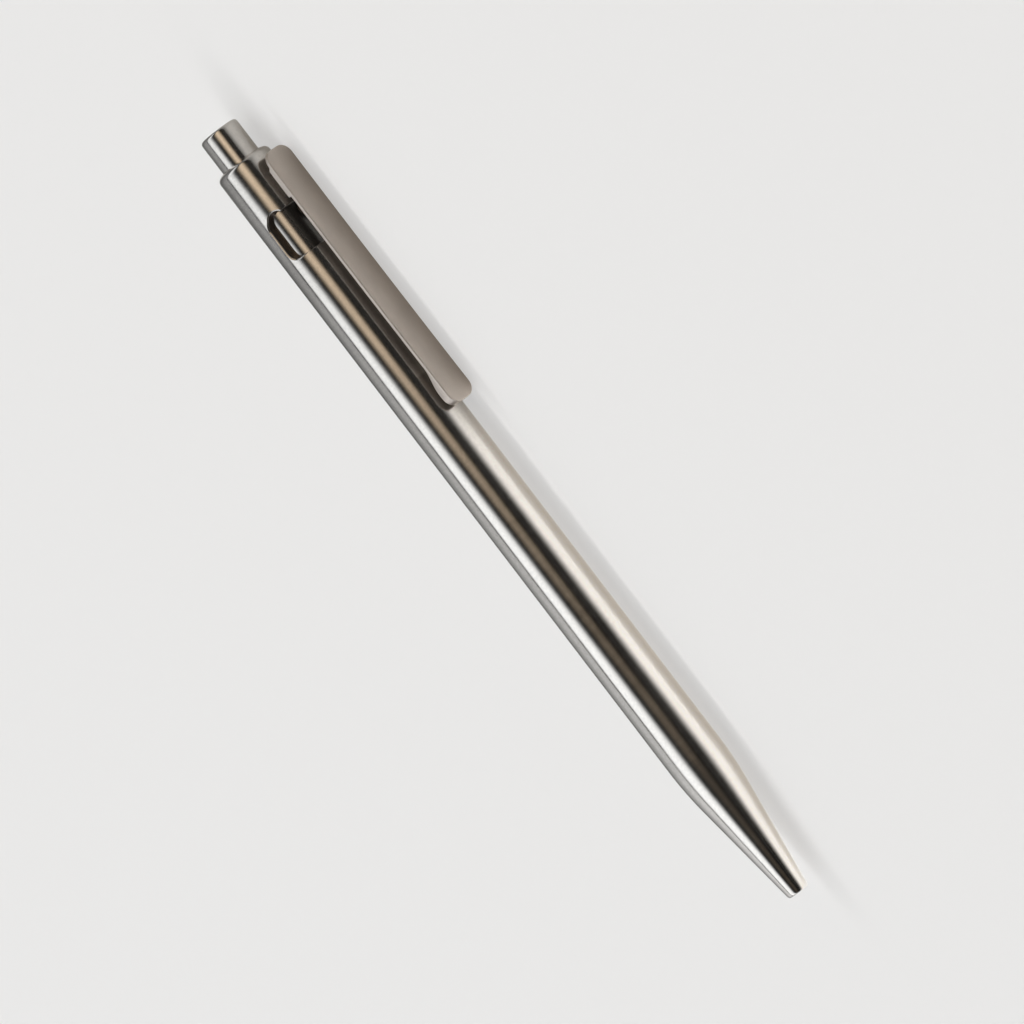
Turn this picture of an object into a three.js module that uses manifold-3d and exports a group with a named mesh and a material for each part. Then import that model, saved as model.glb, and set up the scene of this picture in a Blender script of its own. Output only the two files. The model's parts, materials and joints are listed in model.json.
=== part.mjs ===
// A bolt action pen, turned from stainless bar, at its real size in millimetres.
//
// The pen is drawn in its own frame: X runs along the axis from the nose hole to the button, Z points
// from the axis to the middle of the clip, and Y points to the side on which the slot lies open.
// Angles round the axis are counted from the clip towards that side. The last section lays the pen
// down on its barrel and on the far edge of its clip.

import * as THREE from "three";
import { mergeVertices } from "three/addons/utils/BufferGeometryUtils.js";
import Module from "manifold-3d";

const wasm = await Module();
wasm.setup();

// Refill, counted from the tip of its ball to its back end
const refillLength = 98.5;
const refillDiameter = 5.8;
const refillTubeWall = 0.3;
const refillCapLength = 4.5;
const refillPlugLength = 6;
const refillNotchCount = 6;
const refillNotchWidth = 0.8;
const refillNotchDepth = 1.2;
const refillVentDiameter = 1;
const inkGap = 0.1;
const inkAirLength = 3.9;
const ballDiameter = 0.7;
const ballSeatGap = 0.025;
const ballLip = 0.28;
const inkHoleDiameter = 0.35;
const inkHoleLength = 0.7;
const tipDiameter = 2.3;
const tipMouthDiameter = 0.96;
const tipConeLength = 2.4;
const tipLength = 8;
const tipShankDiameter = 1.9;
const tipShankLength = 4;
const ferruleDiameter = 3;
const ferruleLength = 12;
const ferruleFlangeLip = 0.45;
const ferruleFlangeLength = 1;
const ferruleTailLength = 6;
const inkChannelDiameter = 1;

// Return spring
const springWire = 0.4;
const springClearance = 0.25;
const springCurls = 11;

// Barrel
const barrelWall = 1.25;
const refillClearance = 0.35;
const tipHoleClearance = 0.05;
const noseWall = 0.53;
const noseRounding = 0.55;
const coneLength = 21.4;
const coneBlend = 3.65;
const ferruleClearance = 0.1;
const springBoreClearance = 0.15;
const springSeatWall = 0.7;
const strokeReserve = 0.3;
const tipInset = 1.5;
const headLength = 34.1;
const mouthRise = 0.42;
const mouthRounding = 0.75;
const edgeBreak = 0.08;

// Slot for the bolt
const boltDiameter = 2.8;
const slotClearance = 0.1;
const slotLength = 7.2;
const slotLand = 0.64;
const boltRestAngle = -25;
const boltLockAngle = -70;
const hookAngle = 57.8;
const hookDepth = 0.6;
const windowCornerReach = 0.65;

// Clip
const clipLength = 45.75;
const clipWidth = 5.4;
const clipThickness = 0.6;
const clipStandoff = 1.93;
const clipSetback = 1.65;
const clipCornerRadius = 1.85;
const clipSpringOut = 0.34;
const clipFootExtra = 0.86;
const clipFootLength = 2.6;
const clipFootRamp = 4.4;
const padSetback = 2.5;
const padLength = 4.7;
const padExtra = 0.45;
const postWidth = 2.4;
const postInset = 0.35;
const postCornerRadius = 0.4;
const clipPinDiameter = 1.2;
const clipPinSpacing = 1.8;
const clipPinFit = 0.03;
const clipPinDepth = 0.75;

// Plunger with its button, the bolt screwed into it and the pad that pushes the refill
const runningClearance = 0.05;
const buttonProjection = 5.66;
const buttonRounding = 0.7;
const buttonDome = 0.1;
const ringSection = 0.9;
const ringGrooveDepth = 0.95;
const ringGrooveSlack = 0.12;
const ringMargin = 0.6;
const boltHeadroom = 0.53;
const boltDomeHeight = 0.8;
const boltDriverSlotWidth = 0.5;
const boltDriverSlotDepth = 0.35;
const boltShankDiameter = 1.9;
const boltShankLength = 2.3;
const boltSpotDepth = 0.2;
const pusherDiameter = 5;
const pusherThickness = 1;
const pusherStemDiameter = 2.9;
const pusherStemLength = 3.5;
const seatGap = 0.05;

// Facets
const barrelSides = 48;
const plungerSides = 40;
const refillSides = 24;
const smallSides = 20;
const curveSteps = 6;
const ringSectionSides = 8;
const ballSides = 12;
const ballRings = 8;

// Sizes that follow from the ones above
const boreRadius = refillDiameter / 2 + refillClearance;
const barrelRadius = boreRadius + barrelWall;
const rodRadius = boreRadius - runningClearance;
const tipHoleRadius = tipDiameter / 2 + tipHoleClearance;
const noseEndRadius = tipHoleRadius + noseWall;
const taper = (barrelRadius - noseEndRadius) / coneLength;
const guideBoreRadius = ferruleDiameter / 2 + ferruleClearance;
const springInnerRadius = ferruleDiameter / 2 + springClearance;
const springOuterRadius = springInnerRadius + springWire;
const springBoreRadius = springOuterRadius + springBoreClearance;
const springSeat = (springBoreRadius + springSeatWall - noseEndRadius) / taper;
const cutterRadius = boltDiameter / 2 + slotClearance;
const stroke = slotLength - 2 * cutterRadius;
const flangeFront = tipLength + ferruleLength - ferruleFlangeLength;
const tubeFront = tipLength + ferruleLength;
const pusherFront = tipInset + refillLength + seatGap;
const rodFront = pusherFront + pusherThickness + seatGap;
const capFront = refillLength - refillCapLength;
const inkFront = tubeFront + ferruleTailLength + inkGap;
const inkColumnLength = capFront - refillPlugLength - inkAirLength - inkFront;
const barrelTop = tipInset + refillLength + headLength;
const buttonEnd = barrelTop + buttonProjection;
const clipRear = barrelTop - clipSetback;
const clipEnd = clipRear - clipLength;
const padRear = clipRear - padSetback;
const padFront = padRear - padLength;
const slotTop = padFront - slotLand;
const slotBottom = slotTop - slotLength;
const clipUnderside = barrelRadius + clipStandoff;
const clipFace = clipUnderside + clipThickness;
const padUnderside = clipUnderside - padExtra;
const boltPosition = slotTop - cutterRadius;

const radians = THREE.MathUtils.degToRad;

// Joining and cutting

// A geometry whose neighbouring faces share their vertices.
function welded(geometry) {
  geometry.deleteAttribute("normal");
  geometry.deleteAttribute("uv");
  return mergeVertices(geometry, 1e-4);
}

function solidFrom(geometry) {
  const shared = welded(geometry);
  const vertProperties = new Float32Array(shared.getAttribute("position").array);
  const triVerts = new Uint32Array(shared.index.array);
  return new wasm.Manifold(new wasm.Mesh({ numProp: 3, vertProperties, triVerts }));
}

function geometryFrom(solid) {
  const mesh = solid.getMesh();
  const geometry = new THREE.BufferGeometry();
  geometry.setAttribute("position", new THREE.BufferAttribute(mesh.vertProperties, 3));
  geometry.setIndex(new THREE.BufferAttribute(mesh.triVerts, 1));
  return geometry;
}

// Turning and lofting

// A body turned round the X axis. The outline gives radius and position along the axis.
function turned(outline, sides, startAngle = 0) {
  const geometry = new THREE.LatheGeometry(outline.getPoints(curveSteps), sides, radians(startAngle));
  return welded(geometry).rotateZ(-Math.PI / 2);
}

// A body turned round the Z axis. The outline gives radius and height above the pen's axis.
function turnedAcross(outline, sides) {
  const geometry = new THREE.LatheGeometry(outline.getPoints(curveSteps), sides);
  return welded(geometry).rotateX(Math.PI / 2);
}

function outlineThrough(points) {
  const outline = new THREE.Path();
  outline.moveTo(...points[0]);
  points.slice(1).forEach((point) => outline.lineTo(...point));
  return outline;
}

function ringOutline(points) {
  return outlineThrough([...points, points[0]]);
}

// A plain round bar across the pen at a place on its axis, between two heights.
function crossBar(position, radius, low, high, sides = smallSides) {
  const outline = outlineThrough([
    [0, low],
    [radius, low],
    [radius, high],
    [0, high],
  ]);
  return turnedAcross(outline, sides).translate(position, 0, 0);
}

// A closed body through a row of sections, each a ring of as many points.
function lofted(sections) {
  const count = sections[0].length;
  const positions = sections.flatMap((section) => section.flatMap((point) => point.toArray()));
  const triangles = [];
  for (let row = 0; row < sections.length - 1; row++) {
    for (let i = 0; i < count; i++) {
      const next = (i + 1) % count;
      const here = row * count;
      const ahead = here + count;
      triangles.push(here + i, here + next, ahead + next);
      triangles.push(here + i, ahead + next, ahead + i);
    }
  }
  const last = (sections.length - 1) * count;
  for (let i = 1; i < count - 1; i++) {
    triangles.push(0, i + 1, i);
    triangles.push(last, last + i, last + i + 1);
  }
  const geometry = new THREE.BufferGeometry();
  geometry.setAttribute("position", new THREE.Float32BufferAttribute(positions, 3));
  geometry.setIndex(triangles);
  return geometry;
}

// A cutter with radial walls. Each station gives an angle and the two ends of the cut along the axis.
function wrappedCutter(stations) {
  const inner = boreRadius - barrelWall / 2;
  const outer = barrelRadius + barrelWall / 2;
  const point = (angle, radius, position) =>
    new THREE.Vector3(position, radius * Math.sin(angle), radius * Math.cos(angle));
  const sections = stations.map(({ angle, low, high }) => [
    point(angle, outer, low),
    point(angle, outer, high),
    point(angle, inner, high),
    point(angle, inner, low),
  ]);
  return solidFrom(lofted(sections));
}

// Slot: an open window with a hooked pocket, and two arms that run behind a tongue to the locks

// Half the angle that the cutter takes up where it leaves the bore.
const cutterHalfAngle = Math.asin(cutterRadius / boreRadius);
const windowStart = radians(boltRestAngle) - cutterHalfAngle;
const windowEnd = radians(hookAngle) + (cutterRadius + windowCornerReach) / barrelRadius;

function windowCutter() {
  const hookCentre = slotTop - cutterRadius + hookDepth;
  const cornerCentre = slotTop - cutterRadius - slotClearance;
  const lowCornerCentre = slotBottom + cutterRadius;
  const hookPath = [];
  for (let i = 0; i <= curveSteps; i++) {
    const share = i / curveSteps;
    hookPath.push([share * windowCornerReach, THREE.MathUtils.lerp(hookCentre, cornerCentre, share)]);
  }
  const bulge = (offset) => Math.sqrt(Math.max(0, cutterRadius ** 2 - offset ** 2));
  const high = (arc) => Math.max(...hookPath.map(([place, centre]) => centre + bulge(arc - place)));
  const low = (arc) => lowCornerCentre - bulge(Math.max(0, arc - windowCornerReach));

  const cuspArc = -bulge(slotTop - hookCentre);
  const cuspAngle = radians(hookAngle) + cuspArc / barrelRadius;
  const stations = [];
  const plainSteps = 12;
  for (let i = 0; i < plainSteps; i++) {
    const angle = THREE.MathUtils.lerp(windowStart, cuspAngle, i / plainSteps);
    stations.push({ angle, low: slotBottom, high: slotTop });
  }
  const pocketSteps = 20;
  const pocketArc = cutterRadius + windowCornerReach - cuspArc;
  for (let i = 0; i <= pocketSteps; i++) {
    const arc = cuspArc + pocketArc * Math.sin((Math.PI / 2) * (i / pocketSteps));
    const angle = radians(hookAngle) + arc / barrelRadius;
    stations.push({ angle, low: low(arc), high: high(arc) });
  }
  return wrappedCutter(stations);
}

// The tongue between the arms ends in a half circle, so an arm widens beside its tip.
const tongueHalfWidth = stroke / 2 - cutterRadius;

// How far an arm's cutter reaches into the open window.
const armOverlap = cutterRadius / 3;

function armCutter(centre, towardsTongue) {
  const stations = [];
  const lockAngle = radians(boltLockAngle);
  for (let i = 0; i <= curveSteps; i++) {
    const turn = (Math.PI / 2) * (i / curveSteps);
    const angle = lockAngle - Math.asin((cutterRadius * Math.cos(turn)) / boreRadius);
    const reach = cutterRadius * Math.sin(turn);
    stations.push({ angle, low: centre - reach, high: centre + reach });
  }
  const widened = (angle, inset) => {
    const low = centre - cutterRadius - (towardsTongue < 0 ? inset : 0);
    const high = centre + cutterRadius + (towardsTongue > 0 ? inset : 0);
    stations.push({ angle, low, high });
  };
  for (let i = 0; i <= curveSteps; i++) {
    const turn = (Math.PI / 2) * (i / curveSteps);
    const angle = windowStart - (tongueHalfWidth * (1 - Math.sin(turn))) / barrelRadius;
    widened(angle, tongueHalfWidth * (1 - Math.cos(turn)));
  }
  widened(windowStart + armOverlap / barrelRadius, tongueHalfWidth);
  return wrappedCutter(stations);
}

// Barrel: one tube with a soft shoulder, a tapered nose and a stepped bore

const clipCornerPlace = clipEnd + clipCornerRadius;

// How far the clip's outer face lies from the axis. It lifts a little towards its free end.
function clipOuter(position) {
  const share = Math.max(0, (padFront - position) / (padFront - clipEnd));
  return clipFace + clipSpringOut * share ** 2;
}

// The direction of the table, seen from the axis, when the barrel and the clip's far edge lie on it.
const clipCornerHeight = clipOuter(clipCornerPlace);
const clipCornerAngle = Math.atan2(-clipWidth / 2, clipCornerHeight);
const clipCornerReach = Math.hypot(clipWidth / 2, clipCornerHeight);
const tableAngle = clipCornerAngle - Math.acos(barrelRadius / clipCornerReach);

function makeBarrel() {
  const refillFloor = tipInset + flangeFront - stroke - strokeReserve;
  const guideFloor = tipInset + tipLength - stroke - strokeReserve;
  const mouthSlope = mouthRise / barrelWall;
  const outline = new THREE.Path();
  outline.moveTo(tipHoleRadius + edgeBreak, 0);
  outline.lineTo(noseEndRadius - noseRounding / 2, 0);
  outline.quadraticCurveTo(noseEndRadius, 0, noseEndRadius + taper * noseRounding, noseRounding);
  outline.lineTo(barrelRadius - taper * coneBlend, coneLength - coneBlend);
  outline.quadraticCurveTo(barrelRadius, coneLength, barrelRadius, coneLength + coneBlend);
  outline.lineTo(barrelRadius, barrelTop - mouthRise - mouthRounding);
  outline.quadraticCurveTo(
    barrelRadius,
    barrelTop - mouthRise,
    barrelRadius - mouthRounding,
    barrelTop - mouthRise + mouthSlope * mouthRounding,
  );
  outline.lineTo(boreRadius + edgeBreak, barrelTop - mouthSlope * edgeBreak);
  outline.lineTo(boreRadius, barrelTop - mouthSlope * edgeBreak - edgeBreak);
  outline.lineTo(boreRadius, refillFloor);
  outline.lineTo(springBoreRadius, refillFloor - (boreRadius - springBoreRadius));
  outline.lineTo(springBoreRadius, springSeat);
  outline.lineTo(guideBoreRadius, springSeat);
  outline.lineTo(guideBoreRadius, guideFloor);
  outline.lineTo(tipHoleRadius, guideFloor - (guideBoreRadius - tipHoleRadius));
  outline.lineTo(tipHoleRadius, edgeBreak);
  outline.lineTo(tipHoleRadius + edgeBreak, 0);

  const facetStart = -THREE.MathUtils.radToDeg(tableAngle);
  let barrel = solidFrom(turned(outline, barrelSides, facetStart));
  barrel = barrel.subtract(windowCutter());
  barrel = barrel.subtract(armCutter(slotTop - cutterRadius, -1));
  barrel = barrel.subtract(armCutter(slotBottom + cutterRadius, 1));
  clipPinPlaces.forEach((place) => {
    const hole = crossBar(place, clipPinDiameter / 2 + clipPinFit, boreRadius / 2, clipUnderside);
    barrel = barrel.subtract(solidFrom(hole));
  });
  return geometryFrom(barrel);
}

// Clip: a flat bar, thicker over its post and at its foot, on a post with two pressed pins

const padMiddle = (padRear + padFront) / 2;
const clipPinPlaces = [padMiddle + clipPinSpacing / 2, padMiddle - clipPinSpacing / 2];
const clipPinTop = padUnderside + clipPinDepth;

// A rectangle with round corners, in the X and Y directions, centred on the axis.
function roundedPlan(rear, front, width, radius) {
  const side = width / 2;
  const plan = new THREE.Shape();
  plan.moveTo(front + radius, -side);
  plan.lineTo(rear - radius, -side);
  plan.absarc(rear - radius, radius - side, radius, -Math.PI / 2, 0);
  plan.absarc(rear - radius, side - radius, radius, 0, Math.PI / 2);
  plan.absarc(front + radius, side - radius, radius, Math.PI / 2, Math.PI);
  plan.absarc(front + radius, radius - side, radius, Math.PI, 1.5 * Math.PI);
  return plan;
}

function makeClip() {
  const footStart = clipEnd + clipFootLength;
  const rampTop = footStart + clipFootRamp;
  const underside = (position) => {
    const foot = THREE.MathUtils.smoothstep(-position, -rampTop, -footStart);
    return clipOuter(position) - clipThickness - clipFootExtra * foot;
  };
  const profile = new THREE.Shape();
  profile.moveTo(clipRear, clipFace);
  profile.lineTo(padFront, clipFace);
  const barSteps = 12;
  for (let i = 1; i <= barSteps; i++) {
    const position = THREE.MathUtils.lerp(padFront, clipEnd, i / barSteps);
    profile.lineTo(position, clipOuter(position));
  }
  profile.lineTo(clipEnd, underside(clipEnd));
  for (let i = 0; i <= barSteps; i++) {
    const position = THREE.MathUtils.lerp(footStart, rampTop, i / barSteps);
    profile.lineTo(position, underside(position));
  }
  for (let i = 1; i <= barSteps; i++) {
    const position = THREE.MathUtils.lerp(rampTop, padFront, i / barSteps);
    profile.lineTo(position, underside(position));
  }
  profile.lineTo(padFront, padUnderside);
  profile.lineTo(padRear, padUnderside);
  profile.lineTo(padRear + padExtra, clipUnderside);
  profile.lineTo(clipRear, clipUnderside);

  const sideways = new THREE.ExtrudeGeometry(profile, { depth: clipWidth, bevelEnabled: false });
  sideways.rotateX(Math.PI / 2).translate(0, clipWidth / 2, 0);
  const plan = roundedPlan(clipRear, clipEnd, clipWidth, clipCornerRadius);
  const upwards = new THREE.ExtrudeGeometry(plan, {
    depth: 2 * clipFace,
    bevelEnabled: false,
    curveSegments: curveSteps,
  });
  let clip = solidFrom(sideways).intersect(solidFrom(upwards));
  clipPinPlaces.forEach((place) => {
    const radius = clipPinDiameter / 2 + clipPinFit;
    const hole = crossBar(place, radius, barrelRadius, clipPinTop + clipPinFit);
    clip = clip.subtract(solidFrom(hole));
  });
  return geometryFrom(clip);
}

function makeClipPost() {
  const plan = roundedPlan(padRear - postInset, padFront + postInset, postWidth, postCornerRadius);
  const block = new THREE.ExtrudeGeometry(plan, {
    depth: padUnderside - seatGap - boreRadius,
    bevelEnabled: false,
    curveSegments: curveSteps / 2,
  });
  block.translate(0, 0, boreRadius);
  const saddleRadius = barrelRadius + seatGap;
  const saddle = outlineThrough([
    [0, padFront],
    [saddleRadius, padFront],
    [saddleRadius, padRear],
    [0, padRear],
  ]);
  const facetStart = -THREE.MathUtils.radToDeg(tableAngle);
  let post = solidFrom(block).subtract(solidFrom(turned(saddle, barrelSides, facetStart)));
  clipPinPlaces.forEach((place) => {
    const hole = crossBar(place, clipPinDiameter / 2 + clipPinFit, boreRadius, clipUnderside);
    post = post.subtract(solidFrom(hole));
  });
  return geometryFrom(post);
}

function makeClipPin(place) {
  const radius = clipPinDiameter / 2;
  const low = boreRadius + edgeBreak;
  const outline = outlineThrough([
    [0, low],
    [radius - edgeBreak, low],
    [radius, low + edgeBreak],
    [radius, clipPinTop - edgeBreak],
    [radius - edgeBreak, clipPinTop],
    [0, clipPinTop],
  ]);
  return turnedAcross(outline, smallSides).translate(place, 0, 0);
}

// Plunger: a plain rod whose back end is the button, with two ring grooves and a hole for the bolt

const ringGrooveWidth = ringSection + ringGrooveSlack;
const ringGrooveRadius = rodRadius - ringGrooveDepth;
const rearRingPlace = slotTop + hookDepth + stroke + ringMargin;
const frontRingPlace = slotBottom - ringMargin - ringSection;
const boltSpot = rodRadius - boltSpotDepth;
const boltShankTip = boltSpot - boltShankLength;
const boltTop = clipUnderside - boltHeadroom;

function makePlunger() {
  const stemHoleRadius = pusherStemDiameter / 2 + seatGap;
  const stemHoleEnd = rodFront + pusherStemLength + seatGap;
  const outline = new THREE.Path();
  outline.moveTo(0, stemHoleEnd);
  outline.lineTo(stemHoleRadius, stemHoleEnd);
  outline.lineTo(stemHoleRadius, rodFront);
  outline.lineTo(rodRadius - edgeBreak, rodFront);
  outline.lineTo(rodRadius, rodFront + edgeBreak);
  [frontRingPlace, rearRingPlace].forEach((place) => {
    outline.lineTo(rodRadius, place - ringGrooveWidth / 2);
    outline.lineTo(ringGrooveRadius, place - ringGrooveWidth / 2);
    outline.lineTo(ringGrooveRadius, place + ringGrooveWidth / 2);
    outline.lineTo(rodRadius, place + ringGrooveWidth / 2);
  });
  const shoulder = buttonEnd - buttonDome;
  outline.lineTo(rodRadius, shoulder - buttonRounding);
  outline.quadraticCurveTo(rodRadius, shoulder, rodRadius - buttonRounding, shoulder);
  outline.quadraticCurveTo((rodRadius - buttonRounding) / 2, buttonEnd, 0, buttonEnd);

  const holeRadius = boltShankDiameter / 2 + seatGap;
  const boltHole = crossBar(boltPosition, holeRadius, boltShankTip - seatGap, barrelRadius);
  const spotFace = crossBar(boltPosition, cutterRadius, boltSpot, barrelRadius);
  const rod = solidFrom(turned(outline, plungerSides));
  return geometryFrom(rod.subtract(solidFrom(boltHole)).subtract(solidFrom(spotFace)));
}

function makePlungerRing(place) {
  const section = ringSection / 2;
  const ring = welded(new THREE.TorusGeometry(rodRadius - section, section, ringSectionSides, refillSides));
  return ring.rotateY(Math.PI / 2).translate(place, 0, 0);
}

function makeBolt() {
  const radius = boltDiameter / 2;
  const shank = boltShankDiameter / 2;
  const stemFoot = boltSpot + seatGap;
  const domeFoot = boltTop - boltDomeHeight;
  const domeRadius = (radius ** 2 + boltDomeHeight ** 2) / (2 * boltDomeHeight);
  const domeStart = Math.asin((domeRadius - boltDomeHeight) / domeRadius);
  const outline = new THREE.Path();
  outline.moveTo(0, boltShankTip);
  outline.lineTo(shank - edgeBreak, boltShankTip);
  outline.lineTo(shank, boltShankTip + edgeBreak);
  outline.lineTo(shank, stemFoot);
  outline.lineTo(radius, stemFoot);
  outline.lineTo(radius, domeFoot);
  outline.absarc(0, boltTop - domeRadius, domeRadius, domeStart, Math.PI / 2);
  const slotDepth = 2 * boltDriverSlotDepth;
  const driverSlot = new THREE.BoxGeometry(2 * boltDiameter, boltDriverSlotWidth, slotDepth);
  driverSlot.translate(0, 0, boltTop);
  const bolt = solidFrom(turnedAcross(outline, smallSides)).subtract(solidFrom(driverSlot));
  return geometryFrom(bolt).translate(boltPosition, 0, 0);
}

function makePusher() {
  const stemEnd = rodFront + pusherStemLength;
  const outline = outlineThrough([
    [0, pusherFront],
    [pusherDiameter / 2 - edgeBreak, pusherFront],
    [pusherDiameter / 2, pusherFront + edgeBreak],
    [pusherDiameter / 2, pusherFront + pusherThickness],
    [pusherStemDiameter / 2, pusherFront + pusherThickness],
    [pusherStemDiameter / 2, stemEnd - edgeBreak],
    [pusherStemDiameter / 2 - edgeBreak, stemEnd],
    [0, stemEnd],
  ]);
  return turned(outline, refillSides);
}

// Refill: a ball in a pressed tip, a ferrule with a flange for the spring, and a tube with a plug

const tubeRadius = refillDiameter / 2;
const tubeInnerRadius = tubeRadius - refillTubeWall;
const flangeRadius = springOuterRadius + ferruleFlangeLip;

function makeBall() {
  const radius = ballDiameter / 2;
  const ball = new THREE.SphereGeometry(radius, ballSides, ballRings);
  return welded(ball).translate(radius, 0, 0);
}

function makeTip() {
  const socketRadius = ballDiameter / 2 + ballSeatGap;
  const socketEnd = ballDiameter + ballSeatGap;
  const inkHoleRadius = inkHoleDiameter / 2;
  const outline = ringOutline([
    [socketRadius, ballLip],
    [tipMouthDiameter / 2, ballLip],
    [tipDiameter / 2, tipConeLength],
    [tipDiameter / 2, tipLength],
    [tipShankDiameter / 2, tipLength],
    [tipShankDiameter / 2, tipLength + tipShankLength],
    [inkChannelDiameter / 2, tipLength + tipShankLength],
    [inkHoleRadius, socketEnd + inkHoleLength],
    [inkHoleRadius, socketEnd],
    [socketRadius, socketEnd],
  ]);
  return turned(outline, smallSides);
}

function makeFerrule() {
  const shankBore = tipShankDiameter / 2 + seatGap;
  const shankEnd = tipLength + tipShankLength + seatGap;
  const front = tipLength + seatGap;
  const outline = ringOutline([
    [shankBore, front],
    [ferruleDiameter / 2 - edgeBreak, front],
    [ferruleDiameter / 2, front + edgeBreak],
    [ferruleDiameter / 2, flangeFront],
    [flangeRadius, flangeFront],
    [flangeRadius, tubeFront],
    [tubeInnerRadius - seatGap, tubeFront],
    [tubeInnerRadius - seatGap, tubeFront + ferruleTailLength],
    [inkChannelDiameter / 2, tubeFront + ferruleTailLength],
    [inkChannelDiameter / 2, shankEnd],
    [shankBore, shankEnd],
  ]);
  return turned(outline, refillSides);
}

function makeRefillTube() {
  const outline = ringOutline([
    [tubeInnerRadius, tubeFront + seatGap],
    [tubeRadius, tubeFront + seatGap],
    [tubeRadius, capFront - seatGap],
    [tubeInnerRadius, capFront - seatGap],
  ]);
  return turned(outline, refillSides);
}

function makeInk() {
  const radius = tubeInnerRadius - seatGap;
  const inkBack = inkFront + inkColumnLength;
  const outline = outlineThrough([
    [0, inkFront],
    [radius, inkFront],
    [radius, inkBack],
    [0, inkBack],
  ]);
  return turned(outline, refillSides);
}

function makeRefillPlug() {
  const ventRadius = refillVentDiameter / 2;
  const outline = ringOutline([
    [ventRadius, capFront - refillPlugLength],
    [tubeInnerRadius - seatGap, capFront - refillPlugLength],
    [tubeInnerRadius - seatGap, capFront],
    [tubeRadius, capFront],
    [tubeRadius, refillLength - edgeBreak],
    [tubeRadius - edgeBreak, refillLength],
    [ventRadius, refillLength],
  ]);
  let plug = solidFrom(turned(outline, refillSides));
  for (let i = 0; i < refillNotchCount; i++) {
    const notch = new THREE.BoxGeometry(2 * refillNotchDepth, refillNotchWidth, 2 * refillNotchDepth);
    notch.translate(refillLength, 0, tubeRadius).rotateX((2 * Math.PI * i) / refillNotchCount);
    plug = plug.subtract(solidFrom(notch));
  }
  return geometryFrom(plug);
}

// Return spring: one wound wire between the seat in the nose and the flange of the refill

function makeSpring() {
  const stepsPerCurl = 8;
  const wireSides = 5;
  const wireRadius = springWire / 2;
  const coilRadius = springInnerRadius + wireRadius;
  const start = springSeat + seatGap + wireRadius;
  const end = tipInset + flangeFront - seatGap - wireRadius;
  const steps = springCurls * stepsPerCurl;
  const centres = [];
  const sections = [];
  for (let i = 0; i <= steps; i++) {
    const turn = (2 * Math.PI * i) / stepsPerCurl;
    const outward = new THREE.Vector3(0, Math.cos(turn), Math.sin(turn));
    const centre = outward.clone().multiplyScalar(coilRadius);
    centre.x = THREE.MathUtils.lerp(start, end, i / steps);
    const rise = (end - start) / (2 * Math.PI * springCurls);
    const along = new THREE.Vector3(rise, -coilRadius * Math.sin(turn), coilRadius * Math.cos(turn));
    const across = along.normalize().clone().cross(outward);
    const section = [];
    for (let k = 0; k < wireSides; k++) {
      const around = (2 * Math.PI * k) / wireSides;
      const point = centre.clone();
      point.addScaledVector(outward, wireRadius * Math.cos(around));
      point.addScaledVector(across, wireRadius * Math.sin(around));
      section.push(point);
    }
    centres.push(centre);
    sections.push(section);
  }
  let nearest = Infinity;
  centres.forEach((centre, i) => {
    centres.slice(i + stepsPerCurl / 2).forEach((other) => {
      nearest = Math.min(nearest, centre.distanceTo(other) - springWire);
    });
  });
  console.log("return_spring: least gap between curls " + nearest.toFixed(2) + " mm");
  return lofted(sections);
}

// Finishes

function finish(color, roughness, metalness) {
  return new THREE.MeshStandardMaterial({ color, roughness, metalness });
}

const satinSteel = () => finish(0xb4ada3, 0.3, 1);
const clipSteel = () => finish(0xa39b91, 0.38, 1);
const springSteel = () => finish(0xc9c9c6, 0.25, 1);
const brass = () => finish(0xc4a15a, 0.32, 1);
const whiteAcetal = () => finish(0xe9e6dc, 0.5, 0);
const greyNylon = () => finish(0x6f7274, 0.55, 0);
const blackRubber = () => finish(0x1b1b1b, 0.75, 0);
const blueInk = () => finish(0x14204f, 0.35, 0);
const carbide = () => finish(0x8d8f92, 0.15, 1);

function piece(name, geometry, material) {
  const mesh = new THREE.Mesh(geometry, material);
  mesh.name = name;
  return mesh;
}

// Assembly

const plungerSet = new THREE.Group();
plungerSet.rotation.x = -radians(boltRestAngle);
plungerSet.add(
  piece("plunger", makePlunger(), satinSteel()),
  piece("bolt", makeBolt(), satinSteel()),
  piece("plunger_ring_rear", makePlungerRing(rearRingPlace), blackRubber()),
  piece("plunger_ring_front", makePlungerRing(frontRingPlace), blackRubber()),
  piece("refill_pusher", makePusher(), whiteAcetal()),
);

const refillSet = new THREE.Group();
refillSet.position.x = tipInset;
refillSet.add(
  piece("refill_ball", makeBall(), carbide()),
  piece("refill_tip", makeTip(), springSteel()),
  piece("refill_ferrule", makeFerrule(), brass()),
  piece("refill_tube", makeRefillTube(), springSteel()),
  piece("refill_ink", makeInk(), blueInk()),
  piece("refill_plug", makeRefillPlug(), greyNylon()),
);

const pen = new THREE.Group();
pen.add(
  piece("barrel", makeBarrel(), satinSteel()),
  piece("clip", makeClip(), clipSteel()),
  piece("clip_post", makeClipPost(), clipSteel()),
  piece("clip_pin_rear", makeClipPin(clipPinPlaces[0]), springSteel()),
  piece("clip_pin_front", makeClipPin(clipPinPlaces[1]), springSteel()),
  piece("return_spring", makeSpring(), springSteel()),
  plungerSet,
  refillSet,
);

// The pen lies on a table, with its middle over the origin.
const roll = tableAngle + Math.PI;
const clipSideReach = clipCornerHeight * Math.sin(roll) - (clipWidth / 2) * Math.cos(roll);
pen.rotation.x = roll;
pen.position.set(-buttonEnd / 2, (clipSideReach - barrelRadius) / 2, barrelRadius);

const object = new THREE.Group();
object.add(pen);

export default object;
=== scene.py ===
import json
import math

import bpy
from mathutils import Matrix, Vector


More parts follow.
